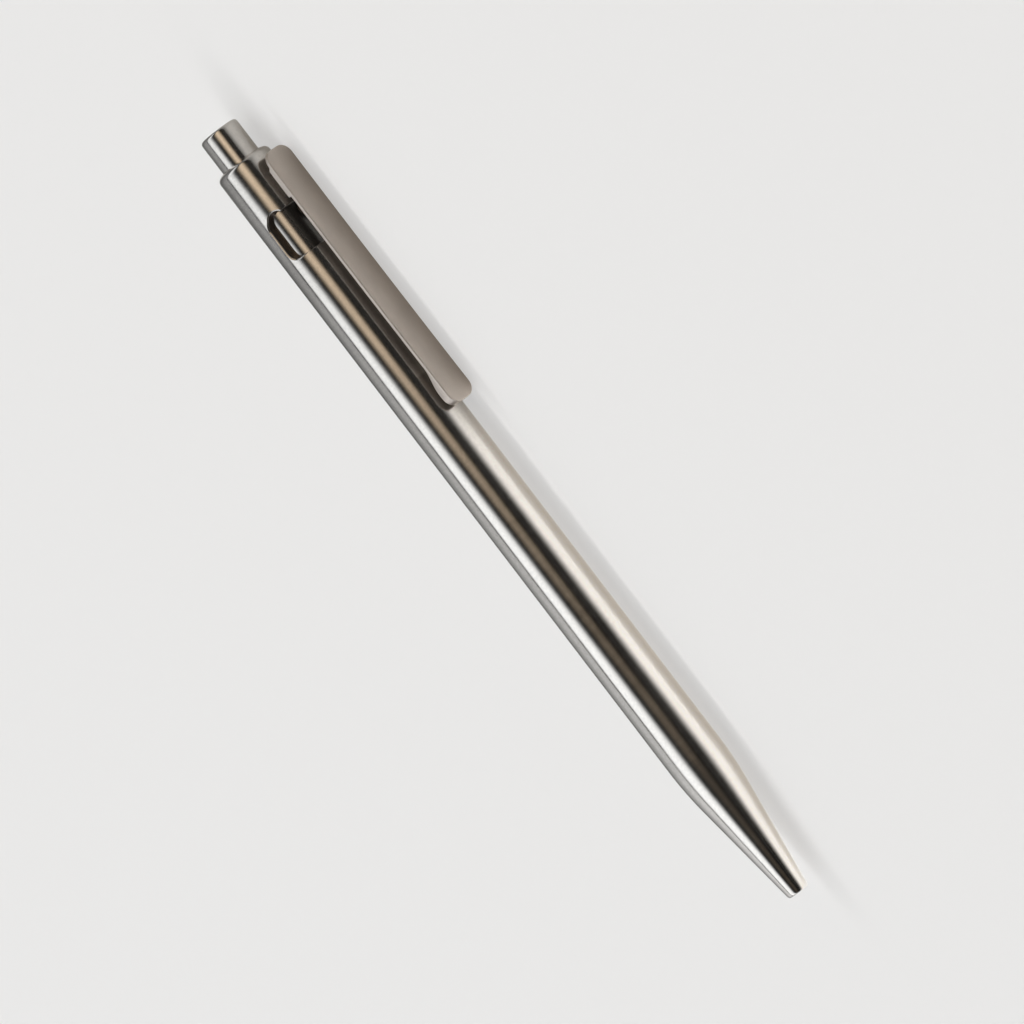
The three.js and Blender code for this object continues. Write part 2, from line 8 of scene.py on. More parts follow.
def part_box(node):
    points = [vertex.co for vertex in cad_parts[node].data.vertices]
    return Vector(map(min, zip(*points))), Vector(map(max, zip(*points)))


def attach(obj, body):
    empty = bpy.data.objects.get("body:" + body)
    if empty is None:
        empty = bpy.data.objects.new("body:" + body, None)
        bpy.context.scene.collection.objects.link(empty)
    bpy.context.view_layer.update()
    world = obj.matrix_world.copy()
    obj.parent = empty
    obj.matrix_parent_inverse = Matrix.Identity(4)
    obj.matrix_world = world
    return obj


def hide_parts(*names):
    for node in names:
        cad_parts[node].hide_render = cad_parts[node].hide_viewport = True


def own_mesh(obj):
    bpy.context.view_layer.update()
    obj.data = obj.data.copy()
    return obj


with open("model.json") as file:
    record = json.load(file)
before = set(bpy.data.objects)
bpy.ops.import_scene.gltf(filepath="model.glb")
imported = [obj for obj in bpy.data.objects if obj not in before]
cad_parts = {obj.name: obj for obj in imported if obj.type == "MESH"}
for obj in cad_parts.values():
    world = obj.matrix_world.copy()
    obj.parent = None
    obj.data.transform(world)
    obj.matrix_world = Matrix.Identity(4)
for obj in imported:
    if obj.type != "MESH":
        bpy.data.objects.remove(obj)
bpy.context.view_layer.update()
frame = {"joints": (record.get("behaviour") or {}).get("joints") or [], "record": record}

# Barrel
# One stainless tube, drilled from behind and turned outside to a long nose. A 3 mm cutter mills the
# bolt's slot through its wall, and every edge is broken by hand after that. Sizes are in millimetres
# and places along the pen count from its nose, and mm makes metres of them for the frame.
mm = 0.001
nose_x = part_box("barrel")[0].x
barrel_radius = 4.5
bore_radius = 3.25
barrel_top = (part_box("barrel")[1].x - nose_x) / mm
nose_end_radius = 1.73
tip_hole_radius = 1.2
nose_rounding = 0.55
cone_length = 21.4
cone_blend = 3.65
taper = (barrel_radius - nose_end_radius) / cone_length
mouth_rise = 0.42
mouth_rounding = 0.75
edge_break = 0.08
spring_seat = 9.81
spring_bore_radius = 2.3
guide_bore_radius = 1.6
guide_floor = 5.0
refill_floor = 16.0
round_sides = 288
pad_rear = 129.95
pad_front = 125.25
pin_spread = 0.9
pin_places = [(pad_rear + pad_front) / 2 + way * pin_spread for way in (1, -1)]
pin_hole_radius = 0.63


def picked(*pieces):
    """Selects these pieces alone and makes the first of them active."""
    bpy.ops.object.select_all(action="DESELECT")
    for piece in pieces:
        piece.select_set(True)
    bpy.context.view_layer.objects.active = pieces[0]


def edit_all():
    """Opens the active piece's mesh with all of it selected."""
    bpy.ops.object.mode_set(mode="EDIT")
    bpy.ops.mesh.select_all(action="SELECT")


def close_mesh():
    """Closes the open mesh."""
    bpy.ops.object.mode_set(mode="OBJECT")


def merge_points():
    """Merges the points of the open mesh that lie in one place."""
    bpy.ops.mesh.select_all(action="SELECT")
    bpy.ops.mesh.remove_doubles(threshold=0.0005 * mm)


def close_outwards():
    """Turns all faces of the open mesh outwards and closes it."""
    bpy.ops.mesh.select_all(action="SELECT")
    bpy.ops.mesh.normals_make_consistent()
    close_mesh()


def wire(name, points):
    """An outline drawn from one vertex, which is extruded from point to point."""
    bpy.ops.mesh.primitive_plane_add(size=mm)
    piece = bpy.context.active_object
    piece.name = name
    piece.data.name = name
    edit_all()
    bpy.ops.mesh.merge(type="CENTER")
    bpy.ops.transform.translate(value=points[0])
    for here, ahead in zip(points, points[1:]):
        step = Vector(ahead) - Vector(here)
        bpy.ops.mesh.extrude_region_move(TRANSFORM_OT_translate={"value": step})
    close_mesh()
    return piece


def turned(name, outline, sides=round_sides, origin=nose_x):
    """A body turned about the X axis. The outline gives distance from the nose and radius."""
    points = [(origin + place * mm, 0, radius * mm) for place, radius in outline]
    piece = wire(name, points)
    edit_all()
    bpy.ops.mesh.spin(steps=sides, angle=2 * math.pi, center=(0, 0, 0), axis=(1, 0, 0))
    merge_points()
    close_outwards()
    return piece


def bend(start, corner, end, steps):
    """Points of a smooth bend from start to end that leans on the corner between them."""
    rows = []
    for step in range(steps + 1):
        share = step / steps
        weights = ((1 - share) ** 2, 2 * share * (1 - share), share**2)
        sides = zip(start, corner, end)
        rows.append(tuple(sum(w * side for w, side in zip(weights, three)) for three in sides))
    return rows


def cut(piece, cutter):
    """Takes the cutter's shape out of the piece and clears the cutter away."""
    taking = piece.modifiers.new("cut", "BOOLEAN")
    taking.operation = "DIFFERENCE"
    taking.solver = "EXACT"
    taking.object = cutter
    picked(piece)
    bpy.ops.object.modifier_apply(modifier=taking.name)
    bpy.data.objects.remove(cutter)


def across(name, outline, place, sides=96):
    """A body turned about a line that stands up from the pen's axis at a distance from the nose."""
    piece = turned(name, outline, sides, origin=0)
    piece.rotation_euler.y = math.radians(-90)
    piece.location.x = nose_x + place * mm
    picked(piece)
    bpy.ops.object.transform_apply()
    return piece


def pin_holes(piece, top):
    """Drills the holes of the two clip pins in a piece, up to a height above the pen's axis."""
    foot = bore_radius / 2
    outline = [(foot, 0), (foot, pin_hole_radius), (top, pin_hole_radius), (top, 0)]
    for place in pin_places:
        cut(piece, across("pin_hole", outline, place, 48))


mouth_slope = mouth_rise / (barrel_radius - bore_radius)
mouth_edge = barrel_top - mouth_rise
barrel_outline = [(0, tip_hole_radius + edge_break)]
barrel_outline += bend(
    (0, nose_end_radius - nose_rounding / 2),
    (0, nose_end_radius),
    (nose_rounding, nose_end_radius + taper * nose_rounding),
    10,
)
barrel_outline += bend(
    (cone_length - cone_blend, barrel_radius - taper * cone_blend),
    (cone_length, barrel_radius),
    (cone_length + cone_blend, barrel_radius),
    24,
)
barrel_outline += bend(
    (mouth_edge - mouth_rounding, barrel_radius),
    (mouth_edge, barrel_radius),
    (mouth_edge + mouth_slope * mouth_rounding, barrel_radius - mouth_rounding),
    12,
)
barrel_outline += [
    (barrel_top - mouth_slope * edge_break, bore_radius + edge_break),
    (barrel_top - mouth_slope * edge_break - edge_break, bore_radius),
    (refill_floor, bore_radius),
    (refill_floor - (bore_radius - spring_bore_radius), spring_bore_radius),
    (spring_seat, spring_bore_radius),
    (spring_seat, guide_bore_radius),
    (guide_floor, guide_bore_radius),
    (guide_floor - (guide_bore_radius - tip_hole_radius), tip_hole_radius),
    (edge_break, tip_hole_radius),
    (0, tip_hole_radius + edge_break),
]
barrel = turned("barrel_tube", barrel_outline)

slot_top = 124.61
slot_bottom = 117.41
cutter_radius = 1.5
slot_middle = (slot_top + slot_bottom) / 2
tongue_half_width = (slot_top - slot_bottom) / 2 - 2 * cutter_radius
bolt_rest_angle = math.radians(25)
arm_end_reach = barrel_radius * math.asin(cutter_radius / bore_radius)
lock_arc = barrel_radius * math.radians(-70)
window_start_arc = -barrel_radius * bolt_rest_angle - arm_end_reach
hook_arc = barrel_radius * math.radians(57.8)
hook_depth = 0.6
lean_fade = 1.3
lean_lost = 0.75
corner_reach = 0.65
corner_drop = 0.1
slot_edge_radius = 0.2
slot_edge_start = -0.04
pocket_edge_radius = 0.35
pocket_edge_start = -0.12


def arc(centre, reach, start, stop, steps):
    """Points on a round stretch, from one angle in degrees to another."""
    rows = []
    for step in range(steps + 1):
        angle = math.radians(start + (stop - start) * step / steps)
        rows.append((centre[0] + reach[0] * math.cos(angle), centre[1] + reach[1] * math.sin(angle)))
    return rows


def slot_outline(grow, lean):
    """The slot on the unrolled barrel, as distance from the nose and arc, widened by grow all round.
    The back wall of the hooked pocket comes forward by lean, and less toward its far corner."""
    reach = cutter_radius + grow
    end_reach = (reach, arm_end_reach + grow)
    tongue = tongue_half_width - grow
    upper = slot_top - cutter_radius
    lower = slot_bottom + cutter_radius
    hook = upper + hook_depth
    corner = upper - corner_drop
    cusp_angle = -math.degrees(math.acos((slot_top - hook + grow) / reach))
    slant = math.degrees(math.atan2(hook - corner, corner_reach))
    points = arc((lower, lock_arc), end_reach, 180, 360, 32)
    points += arc((slot_middle, window_start_arc - tongue_half_width), (tongue, tongue), 180, 0, 24)
    points += arc((upper, lock_arc), end_reach, 180, 360, 32)
    pocket = arc((hook, hook_arc), (reach, reach), cusp_angle, slant, 20)
    pocket += arc((corner, hook_arc + corner_reach), (reach, reach), slant, 90, 12)
    for place, side in pocket:
        share = min(1.0, (side - pocket[0][1]) / (hook_arc - pocket[0][1]))
        share *= 1 - lean_lost * min(1.0, max(0.0, (side - hook_arc) / lean_fade))
        points.append((place - lean * share, side))
    points += arc((lower, hook_arc + corner_reach), (reach, reach), 90, 180, 20)
    return points + points[:1]


def edge_rows(radius, start):
    """Widening and height of the slot up through the wall, with a round of a radius at its edge."""
    rows = [(start, bore_radius - cutter_below)]
    for angle in (0, 15, 30, 45, 60, 72):
        turn = math.radians(angle)
        widening = start + radius * (1 - math.cos(turn))
        rows.append((widening, barrel_radius - radius * (1 - math.sin(turn))))
    return rows + [(start + radius + cutter_above, barrel_radius + cutter_above)]


def eased(share):
    """A share kept from 0 to 1, which starts and ends softly."""
    share = min(1.0, max(0.0, share))
    return share**2 * (3 - 2 * share)


def sliced(way, places):
    """Adds edges all round the open mesh at these places, in metres, along a way."""
    for place in places:
        bpy.ops.mesh.select_all(action="SELECT")
        bpy.ops.mesh.bisect(plane_co=place * way, plane_no=way, threshold=0.0001 * mm)


# The cutter is a stack of slot outlines, bent round the barrel. The small round of the slot's edge
# gives way to a larger one toward the far side of the hooked pocket.
cutter_below = 0.6
cutter_above = 0.3
wall = barrel_radius - bore_radius
pocket_reach = corner_reach + cutter_radius + pocket_edge_start
small_round = edge_rows(slot_edge_radius, slot_edge_start)
large_round = edge_rows(pocket_edge_radius, pocket_edge_start)
slot_rings = []
for rows in zip(small_round, large_round):
    rings = []
    for grow, height in rows:
        lean = hook_depth * max(0.0, barrel_radius - height) / wall
        rings.append([(*point, height) for point in slot_outline(grow, lean)])
    points = []
    for small, large in zip(*rings):
        share = eased((large[1] - hook_arc) / pocket_reach)
        place, side, height = (first + (last - first) * share for first, last in zip(small, large))
        points.append((nose_x + place * mm, side * mm, height * mm))
    slot_rings.append(wire("slot_ring", points))
picked(*slot_rings)
bpy.ops.object.join()
slot_cutter = bpy.context.active_object
edit_all()
merge_points()
bpy.ops.mesh.bridge_edge_loops()
bpy.ops.mesh.select_all(action="SELECT")
bpy.ops.mesh.fill_holes(sides=0)
strip = 0.2
first_arc = lock_arc - arm_end_reach
strips = int((hook_arc + corner_reach + cutter_radius - first_arc) / strip) + 1
sliced(Vector((0, 1, 0)), [(first_arc + strip * row) * mm for row in range(strips)])
close_mesh()
for vertex in slot_cutter.data.vertices:
    angle = vertex.co.y / (barrel_radius * mm)
    vertex.co = (vertex.co.x, vertex.co.z * math.sin(angle), vertex.co.z * math.cos(angle))
edit_all()
close_outwards()
cut(barrel, slot_cutter)
pin_holes(barrel, barrel_radius + 1)
# The slot's walls, up to its rounded edge, stay as the cutter leaves them, and are painted dark as
# shade in the slot.
slot_walls = []
for face in barrel.data.polygons:
    middle = face.center / mm
    depth = barrel_radius - math.hypot(middle.y, middle.z)
    along = middle.x - nose_x / mm
    by_slot = slot_bottom - 0.1 < along < slot_top + 1
    if by_slot and 0.85 * slot_edge_radius < depth < wall - 0.01:
        slot_walls.append(face.index)

# Pieces are drawn on the X axis with the clip above it, but the pen lies on its clip.
joints = {joint["name"]: joint for joint in frame["joints"]}
pen_axis = Vector(joints["turn"]["pos_m"])
clip_way = Vector(frame["record"]["mounts"][0]["axis"])
pen_roll = math.atan2(-clip_way.y, clip_way.z)


def seated(piece, angle=0.0):
    """Swings a piece that was drawn on the X axis to its place in the pen, and settles it there."""
    piece.rotation_euler.x = pen_roll + angle
    piece.location = (0, pen_axis.y, pen_axis.z)
    picked(piece)
    bpy.ops.object.transform_apply()
    bpy.ops.object.shade_smooth_by_angle(angle=math.radians(32))
    return piece


seated(barrel)


def node(tree, kind):
    """A new shader node of a kind."""
    return tree.nodes.new("ShaderNode" + kind)


def feed(tree, socket, value):
    """Gives an input its value, which is an output or a constant."""
    if isinstance(value, bpy.types.NodeSocket):
        tree.links.new(value, socket)
    else:
        socket.default_value = value


def summed(tree, operation, first, second=0, clamp=False):
    """One sum of one or two values, each an output or a number."""
    made = node(tree, "Math")
    made.operation = operation
    made.use_clamp = clamp
    feed(tree, made.inputs[0], first)
    feed(tree, made.inputs[1], second)
    return made.outputs[0]


def weighted(tree, value, *terms, clamp=False):
    """A value with others added to it, each in its own strength."""
    for other, strength in terms:
        value = summed(tree, "ADD", value, summed(tree, "MULTIPLY", other, strength), clamp)
    return value


def rising(tree, value, start, width):
    """Goes from 0 to 1 while a value goes on from start by width."""
    return summed(tree, "DIVIDE", summed(tree, "SUBTRACT", value, start), width, clamp=True)


def parted(tree, vector):
    """The X, Y and Z of a vector."""
    parts = node(tree, "SeparateXYZ")
    tree.links.new(vector, parts.inputs[0])
    return parts.outputs


def grain_noise(tree, vector, stretch, detail):
    """Noise that runs from minus a half to a half, finer along the axes that are stretched more."""
    spread = node(tree, "VectorMath")
    spread.operation = "MULTIPLY"
    spread.inputs[1].default_value = stretch
    tree.links.new(vector, spread.inputs[0])
    noise = node(tree, "TexNoise")
    noise.inputs["Scale"].default_value = 1
    noise.inputs["Detail"].default_value = detail
    tree.links.new(spread.outputs[0], noise.inputs["Vector"])
    return summed(tree, "SUBTRACT", noise.outputs["Fac"], 0.5)


def finish_group(name, inputs):
    """A node group that takes coordinates and some values, and gives shade, roughness and height."""
    group = bpy.data.node_groups.new(name, "ShaderNodeTree")
    group.interface.new_socket(name="Vector", in_out="INPUT", socket_type="NodeSocketVector")
    for label in inputs:
        group.interface.new_socket(name=label, in_out="INPUT", socket_type="NodeSocketFloat")
    for label in ("Shade", "Roughness", "Height"):
        group.interface.new_socket(name=label, in_out="OUTPUT", socket_type="NodeSocketFloat")
    given = group.nodes.new("NodeGroupInput").outputs
    return group, given, group.nodes.new("NodeGroupOutput").inputs


def finished(group, results, *values):
    """Sends shade, roughness and height out of a finish group."""
    for socket, value in zip(results, values):
        group.links.new(value, socket)


def new_material(name):
    """A material with its nodes and the shader among them."""
    material = bpy.data.materials.new(name)
    material.use_nodes = True
    return material, material.node_tree, material.node_tree.nodes["Principled BSDF"]


def finish_material(name, group, values, color, metallic, relief_depth, place=0, turn=(0, 0, 0)):
    """A material whose shade, roughness and relief come from a finish group. The group is set at a
    place along the pen, in metres, and turned."""
    material, tree, shader = new_material(name)
    coordinates = node(tree, "TexCoord")
    centred = node(tree, "Mapping")
    centred.vector_type = "TEXTURE"
    centred.inputs["Location"].default_value = (place, pen_axis.y, pen_axis.z)
    centred.inputs["Rotation"].default_value = turn
    tree.links.new(coordinates.outputs["Object"], centred.inputs["Vector"])
    finish = node(tree, "Group")
    finish.node_tree = group
    tree.links.new(centred.outputs["Vector"], finish.inputs["Vector"])
    for label, value in values.items():
        finish.inputs[label].default_value = value
    tint = node(tree, "Mix")
    tint.data_type = "RGBA"
    tint.blend_type = "MULTIPLY"
    tint.inputs["Factor"].default_value = 1
    # A Mix node's colours are its inputs 6 and 7 and its output 2.
    tint.inputs[6].default_value = (*color, 1)
    tree.links.new(finish.outputs["Shade"], tint.inputs[7])
    tree.links.new(tint.outputs[2], shader.inputs["Base Color"])
    tree.links.new(finish.outputs["Roughness"], shader.inputs["Roughness"])
    shader.inputs["Metallic"].default_value = metallic
    relief = node(tree, "Bump")
    relief.inputs["Strength"].default_value = 0.4
    relief.inputs["Distance"].default_value = relief_depth * mm
    tree.links.new(finish.outputs["Height"], relief.inputs["Height"])
    tree.links.new(relief.outputs["Normal"], shader.inputs["Normal"])
    return material


# Turned steel: rings of very fine marks run round the axis and across the end faces, under faint
# streaks rubbed along the pen and broad, slightly duller patches where it is held.
lathe, lathe_in, lathe_out = finish_group("lathe_marks", ("Base", "Marks", "Patches", "Shade_under_clip"))
parts = parted(lathe, lathe_in["Vector"])
squares = [summed(lathe, "POWER", parts[label], 2) for label in ("Y", "Z")]
from_axis = summed(lathe, "SQRT", summed(lathe, "ADD", *squares))
rings_place = node(lathe, "CombineXYZ")
lathe.links.new(summed(lathe, "ADD", parts["X"], from_axis), rings_place.inputs["X"])
for label in ("Y", "Z"):
    lathe.links.new(parts[label], rings_place.inputs[label])
fine_marks = grain_noise(lathe, rings_place.outputs[0], (5200, 160, 160), 3)
broad_marks = grain_noise(lathe, rings_place.outputs[0], (900, 60, 60), 2)
streaks = grain_noise(lathe, lathe_in["Vector"], (60, 2600, 2600), 4)
patches = grain_noise(lathe, lathe_in["Vector"], (120, 260, 260), 4)
speckle = grain_noise(lathe, lathe_in["Vector"], (2400, 3000, 3000), 2)
grain = weighted(lathe, fine_marks, (broad_marks, 0.6), (streaks, 0.5))
rough = weighted(lathe, lathe_in["Base"], (grain, lathe_in["Marks"]), (patches, lathe_in["Patches"]))
shade = weighted(lathe, 1.0, (grain, 0.1), (patches, 0.08), (speckle, 0.22))
# Painted shade darkens a rod's upper side, where the clip shades it, 4 mm each way from the place
# of the material.
upward = summed(lathe, "DIVIDE", parts["Z"], from_axis)
from_middle = summed(lathe, "ABSOLUTE", parts["X"])
clip_shade_end = rising(lathe, from_middle, 4 * mm, -0.3 * mm)
clip_shade_mask = summed(lathe, "MULTIPLY", rising(lathe, upward, 0.42, 0.2), clip_shade_end)
clip_shade_mask = summed(lathe, "MULTIPLY", clip_shade_mask, lathe_in["Shade_under_clip"])
shade = summed(lathe, "MULTIPLY", shade, summed(lathe, "SUBTRACT", 1.0, clip_shade_mask))
rough = weighted(lathe, rough, (clip_shade_mask, 0.2), clamp=True)
finished(lathe, lathe_out, shade, rough, grain)

satin_values = {"Base": 0.17, "Marks": 0.06, "Patches": 0.1}
satin_color = (0.86, 0.833, 0.796)
satin_steel = finish_material("satin_turned_steel", lathe, satin_values, satin_color, 1, 0.0012)
# The slot's milled steel is rough, and painted dark as shade in the slot.
milled_values = {"Base": 0.5, "Marks": 0.2, "Patches": 0.2}
milled_shade_color = (0.16, 0.135, 0.115)
milled_shaded_steel = finish_material("milled_slot_painted_shade", lathe, milled_values, milled_shade_color, 1, 0.002)
barrel.data.materials.append(satin_steel)
barrel.data.materials.append(milled_shaded_steel)
for index in slot_walls:
    barrel.data.polygons[index].material_index = 1
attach(barrel, "pen_body")
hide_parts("barrel")

# Button and plunger
# A straight stainless rod. Its back end is the push button, with a soft round edge, and in front it
# has two grooves for rubber rings, a flat spot with a hole for the bolt, and a socket for the pusher.
rod_radius = 3.2
rod_front = 101.1
button_end = (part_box("plunger")[1].x - nose_x) / mm
button_rounding = 0.7
button_dome = 0.1
stem_hole_radius = 1.5
stem_hole_end = 104.65
groove_width = 1.02
groove_radius = 2.25
ring_places = (115.91, 130.01)
bolt_place = 123.11
bolt_spot = 3.0
bolt_foot = 0.7
seat_gap = 0.05
hole_radius = 1.0
spot_radius = 1.5
plunger_outline = [
    (stem_hole_end, 0),
    (stem_hole_end, stem_hole_radius),
    (rod_front, stem_hole_radius),
    (rod_front, rod_radius - edge_break),
    (rod_front + edge_break, rod_radius),
]
for place in ring_places:
    plunger_outline += [
        (place - groove_width / 2, rod_radius),
        (place - groove_width / 2, groove_radius),
        (place + groove_width / 2, groove_radius),
        (place + groove_width / 2, rod_radius),
    ]
shoulder = button_end - button_dome
plunger_outline += bend(
    (shoulder - button_rounding, rod_radius),
    (shoulder, rod_radius),
    (shoulder, rod_radius - button_rounding),
    12,
)
plunger_outline += bend(
    (shoulder, rod_radius - button_rounding),
    (button_end, (rod_radius - button_rounding) / 2),
    (button_end, 0),
    8,
)[1:]
plunger = turned("plunger_rod", plunger_outline)
bolt_hole_outline = [
    (bolt_foot - seat_gap, 0),
    (bolt_foot - seat_gap, hole_radius),
    (bolt_spot, hole_radius),
    (bolt_spot, spot_radius),
    (barrel_radius, spot_radius),
    (barrel_radius, 0),
]
cut(plunger, across("bolt_hole", bolt_hole_outline, bolt_place))
seated(plunger, bolt_rest_angle)
# Under the clip the rod's steel is darkened as painted shade.
plunger_steel = finish_material(
    "satin_steel_painted_shade",
    lathe,
    {**satin_values, "Shade_under_clip": 0.75},
    satin_color,
    1,
    0.0012,
    place=nose_x + slot_middle * mm,
    turn=(pen_roll + bolt_rest_angle, 0, 0),
)
plunger.data.materials.append(plunger_steel)
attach(plunger, "bolt_set")
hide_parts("plunger")

# Bolt
# A low stainless screw with a domed head that works in the slot. Its shank is screwed into the
# plunger, and a driver turns it by the slot across the dome when the pen is opened for a new refill.
bolt_radius = 1.4
bolt_top = 5.8
dome_height = 0.8
bolt_shank_radius = 0.95
dome_radius = (bolt_radius**2 + dome_height**2) / (2 * dome_height)
dome_blend = 6
dome_start = math.degrees(math.asin(bolt_radius / dome_radius)) - dome_blend
neck = 0.12
bolt_outline = [
    (bolt_foot, 0),
    (bolt_foot, bolt_shank_radius - edge_break),
    (bolt_foot + edge_break, bolt_shank_radius),
    (bolt_spot + seat_gap, bolt_shank_radius),
    (bolt_spot + seat_gap, bolt_radius - edge_break / 2),
    (bolt_spot + seat_gap + edge_break / 2, bolt_radius),
]
dome = arc((bolt_top - dome_radius, 0), (dome_radius, dome_radius), dome_start, 0, 16)
bolt_outline += bend(
    (bolt_top - dome_height - neck, bolt_radius),
    (bolt_top - dome_height, bolt_radius),
    dome[0],
    6,
)
bolt_outline += dome[1:]
bolt = across("bolt_screw", bolt_outline, bolt_place)
driver_width = 0.5
driver_depth = 0.35
driver_break = 0.06


def block(name, size, centre, turn=0.0):
    """A block about a centre, turned about the X axis, all in metres."""
    bpy.ops.mesh.primitive_cube_add(size=1)
    piece = bpy.context.active_object
    piece.name = name
    piece.scale = size
    piece.rotation_euler.x = turn
    piece.location = centre
    bpy.ops.object.transform_apply()
    return piece


driver_size = (4 * bolt_radius * mm, driver_width * mm, 2 * driver_depth * mm)
driver = block("driver_slot", driver_size, (nose_x + bolt_place * mm, 0, bolt_top * mm))
edit_all()
bpy.ops.mesh.bevel(offset=driver_break * mm, segments=3)
close_mesh()
cut(bolt, driver)
# The bolt's sides work in the slot and are painted as dark as its walls, as shade in the slot.
sides_top = (barrel_radius - 0.1) * mm
bolt_sides = [face.index for face in bolt.data.polygons if face.center.z < sides_top]
seated(bolt, bolt_rest_angle)
bolt_swing = Matrix.Rotation(pen_roll + bolt_rest_angle, 4, "X")
bolt_frame = bolt_swing @ Matrix.Rotation(math.radians(-90), 4, "Y")
bolt_steel = finish_material(
    "turned_bolt_steel",
    lathe,
    satin_values,
    satin_color,
    1,
    0.0012,
    place=nose_x + bolt_place * mm,
    turn=bolt_frame.to_euler(),
)
bolt.data.materials.append(bolt_steel)
bolt.data.materials.append(milled_shaded_steel)
for index in bolt_sides:
    bolt.data.polygons[index].material_index = 1
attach(bolt, "bolt_set")
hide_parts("bolt")

# Clip
# A flat bar of stainless strip with round corners, fine blasted. It is thicker over its post and at
# its foot, which grips the cloth, and it springs a little away from the barrel toward that end.
clip_rear = barrel_top - 1.65
clip_end = clip_rear - 45.75
clip_width = 5.4
clip_corner = 1.85
clip_underside = 6.43
clip_face = 7.03
spring_out = 0.34
foot_extra = 0.86
foot_length = 2.6
foot_ramp = 4.4
pad_extra = 0.45
face_bevel = 0.16
under_bevel = 0.1


def plan(rear, front, width, corner, steps):
    """A rectangle with round corners seen from above, as distances from the nose and sideways."""
    side = width / 2 - corner
    reach = (corner, corner)
    points = arc((rear - corner, -side), reach, -90, 0, steps)
    points += arc((rear - corner, side), reach, 0, 90, steps)
    points += arc((front + corner, side), reach, 90, 180, steps)
    points += arc((front + corner, -side), reach, 180, 270, steps)
    return points + points[:1]


def clip_outer(place):
    """Height of the clip's outer face above the axis."""
    share = max(0.0, (pad_front - place) / (pad_front - clip_end))
    return clip_face + spring_out * share**2


def clip_under(place):
    """Height of the clip's underside above the axis, with the pad over the post and the foot."""
    foot = eased((clip_end + foot_length + foot_ramp - place) / foot_ramp)
    pad = min(pad_extra, max(0.0, pad_rear + pad_extra - place)) if place >= pad_front else 0.0
    return clip_outer(place) - (clip_face - clip_underside) - foot_extra * foot - pad


def raised(name, outline, low, high):
    """A flat outline filled and raised between two heights above the pen's axis."""
    piece = wire(name, [(nose_x + place * mm, side * mm, low * mm) for place, side in outline])
    edit_all()
    merge_points()
    bpy.ops.mesh.edge_face_add()
    bpy.ops.mesh.extrude_region_move(TRANSFORM_OT_translate={"value": (0, 0, (high - low) * mm)})
    close_outwards()
    return piece


def rim_rounded(piece, height, width, segments):
    """Rounds the rim of a raised body at one height."""
    bpy.ops.object.mode_set(mode="EDIT")
    bpy.ops.mesh.select_all(action="DESELECT")
    bpy.ops.mesh.select_mode(type="EDGE")
    close_mesh()
    for edge in piece.data.edges:
        ends = [piece.data.vertices[index].co.z for index in edge.vertices]
        edge.select = all(abs(end - height * mm) < 0.01 * mm for end in ends)
    bpy.ops.object.mode_set(mode="EDIT")
    bpy.ops.mesh.bevel(offset=width * mm, segments=segments)
    bpy.ops.mesh.select_mode(type="VERT")
    close_mesh()


clip_plan = plan(clip_rear, clip_end, clip_width, clip_corner, 24)
clip = raised("clip_bar", clip_plan, clip_underside, clip_face)
rim_rounded(clip, clip_face, face_bevel, 5)
rim_rounded(clip, clip_underside, under_bevel, 4)
# Edges across the bar let it bend: close by the foot, wider along the rest, and one at each step
# of the pad.
stations = [clip_end + 0.25 * row for row in range(1, 40)]
stations += [clip_end + 10 + 1.2 * row for row in range(24)]
stations += [pad_front - 0.02, pad_front, pad_rear, pad_rear + pad_extra]
edit_all()
sliced(Vector((1, 0, 0)), [nose_x + place * mm for place in stations])
close_mesh()
middle_height = (clip_underside + clip_face) / 2
for vertex in clip.data.vertices:
    place = (vertex.co.x - nose_x) / mm
    height = vertex.co.z / mm
    if height > middle_height:
        vertex.co.z = (clip_outer(place) + height - clip_face) * mm
    else:
        vertex.co.z = (clip_under(place) + height - clip_underside) * mm
pin_grip = 0.75
pin_top = clip_underside - pad_extra + pin_grip
pin_holes(clip, pin_top + seat_gap)
seated(clip)
# The wide face keeps its own normal, so it mirrors as a flat face and only its bevel turns.
flattening = clip.modifiers.new("flat_face", "WEIGHTED_NORMAL")
flattening.keep_sharp = True
bpy.ops.object.modifier_apply(modifier=flattening.name)

# Blasted steel: an even fine grain with cloudy tones, a rim polished by cloth and fingers, and an
# underside darkened as painted shade. The rim is found by how far a point lies within a bar with
# round corners.
blasted_labels = ("Base", "Length", "Width", "Corner", "Face")
blasted, blasted_in, blasted_out = finish_group("blasted_grain", blasted_labels)
parts = parted(blasted, blasted_in["Vector"])
overs = []
for label, extent in (("X", "Length"), ("Y", "Width")):
    inner = summed(blasted, "SUBTRACT", blasted_in[extent], blasted_in["Corner"])
    from_middle = summed(blasted, "ABSOLUTE", parts[label])
    overs.append(summed(blasted, "SUBTRACT", from_middle, inner))
outside = [summed(blasted, "POWER", summed(blasted, "MAXIMUM", over, 0), 2) for over in overs]
reach = summed(blasted, "SQRT", summed(blasted, "ADD", *outside))
inside = summed(blasted, "MINIMUM", summed(blasted, "MAXIMUM", *overs), 0)
reach = summed(blasted, "ADD", reach, inside)
rim_depth = summed(blasted, "SUBTRACT", blasted_in["Corner"], reach)
grains = grain_noise(blasted, blasted_in["Vector"], (9000, 9000, 9000), 2)
clouds = grain_noise(blasted, blasted_in["Vector"], (160, 300, 300), 4)
nicks = grain_noise(blasted, blasted_in["Vector"], (700, 1500, 1500), 3)
rim_width = weighted(blasted, 0.12 * mm, (nicks, 0.2 * mm))
worn = summed(blasted, "DIVIDE", rim_depth, rim_width)
rim = summed(blasted, "SUBTRACT", 1.0, worn, clamp=True)
